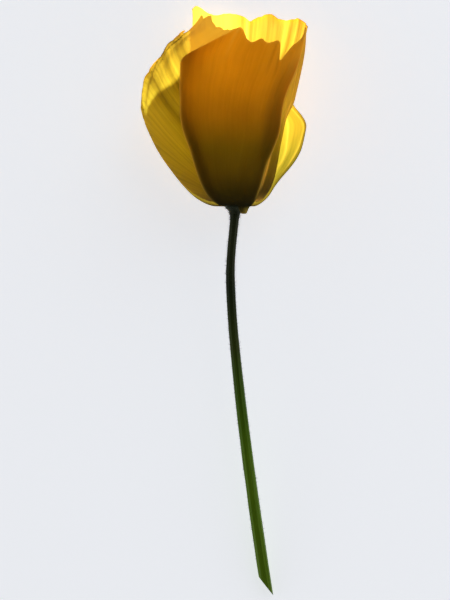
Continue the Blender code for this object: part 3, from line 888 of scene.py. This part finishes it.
# Profile up its outer side: radius and height, ovary first and then the stigma cap, in millimetres.
pistil = {
    "profile": (
        (0.95, -0.5), (1.05, 0.9), (1.35, 2.2), (1.75, 3.6), (2.1, 5.2), (2.15, 6.5), (1.9, 7.6),
        (1.95, 8.1), (2.7, 8.4), (2.8, 8.9), (2.2, 9.5), (1.1, 9.85), (0.02, 10.0)),
    "rings": 90,
    "sides": 96,
    "capHeights": (8.3, 8.7),   # where the ovary ends and the cap starts
    "rays": 6,
    "rayHeight": 0.22,
    "rayPoint": 1.5,            # the higher, the narrower
    "rayRadii": (0.0, 0.6),
    "rayTips": (0.25, (1.8, 2.8)),      # how far they reach out past the cap, and from which radii
    "ribs": 12,
    "ribHeight": 0.05,          # share of the radius
    "topRise": 0.02,
}


# Pistil: a downy ovary under a velvet cap. It gives a soft grey green with yellow rays on top.
pistilSkin = {"stops": ((0.3, "#5c7030"), (0.7, "#94a552")), "rayColour": "#e8cf4a", "downMm": 0.3}


def makePistilSkin(look):
    material, tree = newMaterial("poppyOvaryDown")
    ray = addNode(tree, "ShaderNodeAttribute", {"attribute_name": "ray"}).outputs["Fac"]
    where = addNode(tree, "ShaderNodeTexCoord").outputs["Object"]
    down = addNode(tree, "ShaderNodeTexNoise", sockets={
        "Vector": where, "Scale": 1 / (look["downMm"] * mm), "Detail": 3.0}).outputs["Fac"]
    green = addNode(tree, "ShaderNodeValToRGB", {"stops": look["stops"]}, {"Fac": down}).outputs["Color"]
    colour = addNode(tree, "ShaderNodeMix", {"data_type": "RGBA"}, {
        0: ray, 6: green, 7: hexToLinear(look["rayColour"])}).outputs[2]
    bump = addNode(tree, "ShaderNodeBump", sockets={
        "Strength": 0.6, "Distance": 0.08 * mm, "Height": down}).outputs["Normal"]
    skin = addNode(tree, "ShaderNodeBsdfPrincipled", sockets={
        "Base Color": colour, "Roughness": 0.7, "Sheen Weight": 0.3, "Normal": bump})
    addNode(tree, "ShaderNodeOutputMaterial", sockets={"Surface": skin.outputs[0]})
    return material


def makePistil(finish):
    # The profile turned about the axis; ribs swell the ovary, and rays stand up on the cap.
    rings, sides = pistil["rings"], pistil["sides"]
    knots = pistil["profile"]
    shares = np.linspace(0, 1, len(knots))
    at = np.linspace(0, 1, rings)
    radius = through(list(zip(shares, [k[0] for k in knots])), at)[:, None]
    height = through(list(zip(shares, [k[1] for k in knots])), at)[:, None]
    angle = np.linspace(0, 2 * math.pi, sides, endpoint=False)[None]
    onCap = ease(height, *pistil["capHeights"])
    ray = np.clip(np.cos(pistil["rays"] * angle), 0, 1) ** pistil["rayPoint"]
    ray = ray * onCap * ease(radius, *pistil["rayRadii"])
    outward = radius * (1 + pistil["ribHeight"] * np.cos(pistil["ribs"] * angle) * (1 - onCap))
    reach, tipRadii = pistil["rayTips"]
    outward = outward + reach * ray * ease(radius, *tipRadii)
    lifted = height + pistil["rayHeight"] * ray
    ring = np.stack([outward * np.cos(angle), lifted, outward * np.sin(angle)], axis=-1).reshape(-1, 3)
    points = np.concatenate([ring, [[0, knots[0][1], 0]], [[0, knots[-1][1] + pistil["topRise"], 0]]])
    firstRing = np.arange(sides)
    faces = [gridFaces(rings, sides, closed=True), fan(firstRing, len(points) - 2)[:, ::-1],
             fan(firstRing + (rings - 1) * sides, len(points) - 1)]
    values = {"ray": np.concatenate([ray.ravel(), [0, 0]])}
    addPiece("pistil_fine", toWorld(points), faces, [finish], ["pistil"], values=values)


makePistil(makePistilSkin(pistilSkin))
print("pistil made")


# whorls: radius at the foot, radius and height at the tip, and how late they spread, in millimetres.
stamens = {
    "whorls": ((1.55, 4.9, 9.6, 1.15), (1.98, 7.0, 9.0, 1.35), (2.35, 9.0, 7.7, 1.6)),
    "inWhorl": 14,
    "seed": 11,
    "scatter": (0.03, 0.35, 0.7),       # turn in radians, reach, height
    "footHeight": -0.45,
    "rise": 0.85,               # below 1 it gains height early
    "filament": {"rings": 12, "sides": 8, "radius": 0.14, "intoAnther": 0.04},
    "anther": {"rings": 12, "sides": 14, "radius": 0.46, "length": 1.9, "ends": 0.985, "lobes": (0.78, 0.3)},
}

# More stamens between those, as one piece.
between = {
    "count": 54,
    "seed": 17,
    "turns": 5,
    "footOut": 0.1,
    "reach": (-0.8, 0.5),       # scatter
    "height": (-1.6, 0.3),
}


# Anther: a pollen sac covered in grains. It gives a rough golden yellow with no shine.
pollen = {
    "stops": ((0.0, "#fbe264"), (0.6, "#f2c638"), (1.0, "#d09a22")),
    "grainMm": 0.16,            # real grains are finer, and wouldn't show
    "roughness": 0.85,
}

# Filament: a thin clear thread. It gives a pale yellow green that lets some light through.
filament = {"stops": ((0.3, "#b9b24a"), (0.7, "#d9cf66")), "toneMm": 1.5, "throughShare": 0.4}


def makePollen(look):
    material, tree = newMaterial("poppyPollen")
    where = addNode(tree, "ShaderNodeTexCoord").outputs["Object"]
    grains = addNode(tree, "ShaderNodeTexVoronoi", sockets={
        "Vector": where, "Scale": 1 / (look["grainMm"] * mm)})
    colour = addNode(tree, "ShaderNodeValToRGB", {"stops": look["stops"]}, {
        "Fac": grains.outputs["Distance"]}).outputs["Color"]
    bump = addNode(tree, "ShaderNodeBump", sockets={
        "Strength": 0.7, "Distance": 0.05 * mm, "Height": grains.outputs["Distance"]}).outputs["Normal"]
    sac = addNode(tree, "ShaderNodeBsdfPrincipled", sockets={
        "Base Color": colour, "Roughness": look["roughness"], "Normal": bump})
    addNode(tree, "ShaderNodeOutputMaterial", sockets={"Surface": sac.outputs[0]})
    return material


def makeFilament(look):
    material, tree = newMaterial("poppyFilament")
    where = addNode(tree, "ShaderNodeTexCoord").outputs["Object"]
    tone = addNode(tree, "ShaderNodeTexNoise", sockets={"Vector": where, "Scale": 1 / (look["toneMm"] * mm)})
    colour = addNode(tree, "ShaderNodeValToRGB", {"stops": look["stops"]}, {
        "Fac": tone.outputs["Fac"]}).outputs["Color"]
    off = addNode(tree, "ShaderNodeBsdfPrincipled", sockets={"Base Color": colour, "Roughness": 0.5})
    through = addNode(tree, "ShaderNodeBsdfTranslucent", sockets={"Color": colour})
    mixed = addNode(tree, "ShaderNodeMixShader", sockets={
        0: look["throughShare"], 1: off.outputs[0], 2: through.outputs[0]})
    addNode(tree, "ShaderNodeOutputMaterial", sockets={"Surface": mixed.outputs[0]})
    return material


def stamenForm(angle, foot, reach, height, lateness):
    # The filament rises first and then spreads. The anther goes on in line: a long two-lobed sac.
    anther, thread = stamens["anther"], stamens["filament"]
    threadEnd = 1 - anther["length"] / math.hypot(reach - foot, height)
    across = np.array([-math.sin(angle), 0.0, math.cos(angle)])
    parts = []
    for form, start, end in ((thread, 0.0, threadEnd + thread["intoAnther"]), (anther, threadEnd, 1.0)):
        rings, sides = form["rings"], form["sides"]
        s = np.linspace(start, end, rings)
        out = foot + (reach - foot) * s**lateness
        y = stamens["footHeight"] + (height - stamens["footHeight"]) * s**stamens["rise"]
        line = np.stack([out * math.cos(angle), y, out * math.sin(angle)], axis=-1)
        forward = np.gradient(line, axis=0)
        forward /= np.linalg.norm(forward, axis=-1, keepdims=True)
        up = np.cross(forward, across)
        around = np.linspace(0, 2 * math.pi, sides, endpoint=False)[None]
        radius = form["radius"] * np.ones((rings, sides))
        if form is anther:
            waist, lobe = form["lobes"]
            radius *= np.sqrt(1 - np.linspace(-form["ends"], form["ends"], rings)**2)[:, None]
            radius *= waist + lobe * np.abs(np.cos(around))
        spokes = np.cos(around)[..., None] * across + np.sin(around)[..., None] * up[:, None]
        ring = (line[:, None] + radius[..., None] * spokes).reshape(-1, 3)
        points = np.concatenate([ring, [line[0]], [line[-1]]])
        first = np.arange(sides)
        parts.append((points, gridFaces(rings, sides, closed=True), np.concatenate([
            fan(first, len(points) - 2)[:, ::-1], fan(first + (rings - 1) * sides, len(points) - 1)])))
    return parts


def addStamens(name, forms, nodes, finishes):
    # several stamens as one piece: filaments take the first finish, anthers the second
    points, quads, triangles, quadFinish, triangleFinish = [], [], [], [], []
    start = 0
    for parts in forms:
        for finishIndex, (own, ownQuads, ownTriangles) in enumerate(parts):
            points.append(own)
            quads.append(ownQuads + start)
            triangles.append(ownTriangles + start)
            quadFinish.append(np.full(len(ownQuads), finishIndex))
            triangleFinish.append(np.full(len(ownTriangles), finishIndex))
            start += len(own)
    faces = [np.concatenate(quads), np.concatenate(triangles)]
    addPiece(name, toWorld(np.concatenate(points)), faces, finishes, nodes,
             finishOf=np.concatenate(quadFinish + triangleFinish))


def makeStamens(finishes):
    # the CAD's own stamens in the same order and with the same scatter, and then more between them
    scatter = random.Random(stamens["seed"])
    turnOff, reachOff, heightOff = stamens["scatter"]
    number = 0
    for whorl, (foot, reach, height, lateness) in enumerate(stamens["whorls"]):
        for i in range(stamens["inWhorl"]):
            number += 1
            turn = (i + whorl / len(stamens["whorls"])) / stamens["inWhorl"]
            angle = 2 * math.pi * turn + scatter.uniform(-turnOff, turnOff)
            reached = reach + scatter.uniform(-reachOff, reachOff)
            tall = height + scatter.uniform(-heightOff, heightOff)
            form = stamenForm(angle, foot, reached, tall, lateness)
            addStamens(f"stamen_{number:02d}_fine", [form], [f"stamen_{number:02d}"], finishes)
    scatter = random.Random(between["seed"])
    forms = []
    for i in range(between["count"]):
        foot, reach, height, lateness = stamens["whorls"][i % len(stamens["whorls"])]
        angle = 2 * math.pi * (i + 0.5) / between["count"] * between["turns"]
        reached = reach + scatter.uniform(*between["reach"])
        tall = height + scatter.uniform(*between["height"])
        forms.append(stamenForm(angle, foot + between["footOut"], reached, tall, lateness))
    addStamens("stamens_between", forms, [], finishes)


makeStamens([makeFilament(filament), makePollen(pollen)])
print("stamens made")


# A light table: a pale frosted surface that glows a little, and a lamp under it that the flower is lit
# through. The surface lets the lamp's light pass.
studio = {
    "floorColour": "#e4e6ea",
    "floorGlow": 0.79,
    "floorHalf": 1.5,
    "floorGapMm": 0.12,
    "skyColour": "#e8eaee",
    "skyLow": 1.0,              # bright from the sides, dim from straight above
    "skyHigh": 0.1,
    "skyBetween": (0.1, 0.7),
    "lampFrom": (0.03, 0.1, -1.0),
    "lampStrength": 10.5,
    "lampAngleDegrees": 2.5,
    "fillAt": (0.25, 0.35, 0.5),
    "fillSize": 0.5,
    "fillPower": 0.4,
    "lens": 250,
    "sensorWidth": 36,
    "frameHeight": 165.0,
    "lookAt": (-2.75, -26.7, 0.0),
}


def makeFloor():
    # a square in the plane of z, just under the flower
    half = studio["floorHalf"]
    corners = [(-half, -half, 0), (half, -half, 0), (half, half, 0), (-half, half, 0)]
    mesh = bpy.data.meshes.new("floor")
    mesh.from_pydata(corners, [], [(0, 1, 2, 3)])
    material, tree = newMaterial("frostedTable")
    sheet = addNode(tree, "ShaderNodeBsdfPrincipled", sockets={
        "Base Color": hexToLinear(studio["floorColour"]), "Roughness": 0.7, "Specular IOR Level": 0.2,
        "Emission Color": hexToLinear(studio["floorColour"]), "Emission Strength": studio["floorGlow"]})
    addNode(tree, "ShaderNodeOutputMaterial", sockets={"Surface": sheet.outputs[0]})
    mesh.materials.append(material)
    floor = bpy.data.objects.new("floor", mesh)
    floor.location.z = cadBox[0][2] - studio["floorGapMm"] * mm
    floor.visible_shadow = False
    bpy.context.scene.collection.objects.link(floor)


def aim(thing, direction):
    # lamps shine along their own -z
    thing.rotation_euler = Vector(direction).to_track_quat("-Z", "Y").to_euler()


def makeLights():
    # a sky that dims overhead, a sun from beneath for the parts that glow, and a soft fill from above
    scene = bpy.context.scene
    scene.view_settings.view_transform = "Standard"
    scene.world = bpy.data.worlds.new("studioSky")
    scene.world.use_nodes = True
    tree = scene.world.node_tree
    heading = addNode(tree, "ShaderNodeTexCoord").outputs["Generated"]
    upward = addNode(tree, "ShaderNodeSeparateXYZ", sockets={"Vector": heading}).outputs["Z"]
    strength = addNode(tree, "ShaderNodeMapRange", {"interpolation_type": "SMOOTHSTEP"}, {
        "Value": upward, "From Min": studio["skyBetween"][0], "From Max": studio["skyBetween"][1],
        "To Min": studio["skyLow"], "To Max": studio["skyHigh"]}).outputs["Result"]
    sky = tree.nodes["Background"]
    sky.inputs["Color"].default_value = hexToLinear(studio["skyColour"])
    tree.links.new(strength, sky.inputs["Strength"])
    lamp = bpy.data.lights.new("tableLamp", "SUN")
    lamp.energy = studio["lampStrength"]
    lamp.angle = math.radians(studio["lampAngleDegrees"])
    lampObject = bpy.data.objects.new("tableLamp", lamp)
    aim(lampObject, -Vector(studio["lampFrom"]))
    scene.collection.objects.link(lampObject)
    lit = bpy.data.collections.new("litFromBeneath")
    for piece in scene.objects:
        if piece.name.startswith(("petal_", "stamen", "pistil")):
            lit.objects.link(piece)
    lampObject.light_linking.receiver_collection = lit  # so the stem throws no green light on the floor
    fill = bpy.data.lights.new("softFill", "AREA")
    fill.size = studio["fillSize"]
    fill.energy = studio["fillPower"]
    fillObject = bpy.data.objects.new("softFill", fill)
    fillObject.location = studio["fillAt"]
    aim(fillObject, -Vector(studio["fillAt"]))
    scene.collection.objects.link(fillObject)


def makeCamera():
    # square to the flower's axis, so its length isn't foreshortened, with the mouth at the top
    camera = bpy.data.cameras.new("camera")
    camera.lens = studio["lens"]
    camera.sensor_width = studio["sensorWidth"]
    distance = studio["frameHeight"] * studio["lens"] / camera.sensor_width
    cameraObject = bpy.data.objects.new("camera", camera)
    cameraObject.location = toWorld(np.array(studio["lookAt"]) + [0, 0, distance])
    cameraObject.rotation_euler = (tilt, 0, 0)
    bpy.context.scene.collection.objects.link(cameraObject)
    bpy.context.scene.camera = cameraObject


makeFloor()
makeLights()
makeCamera()
print("studio made")
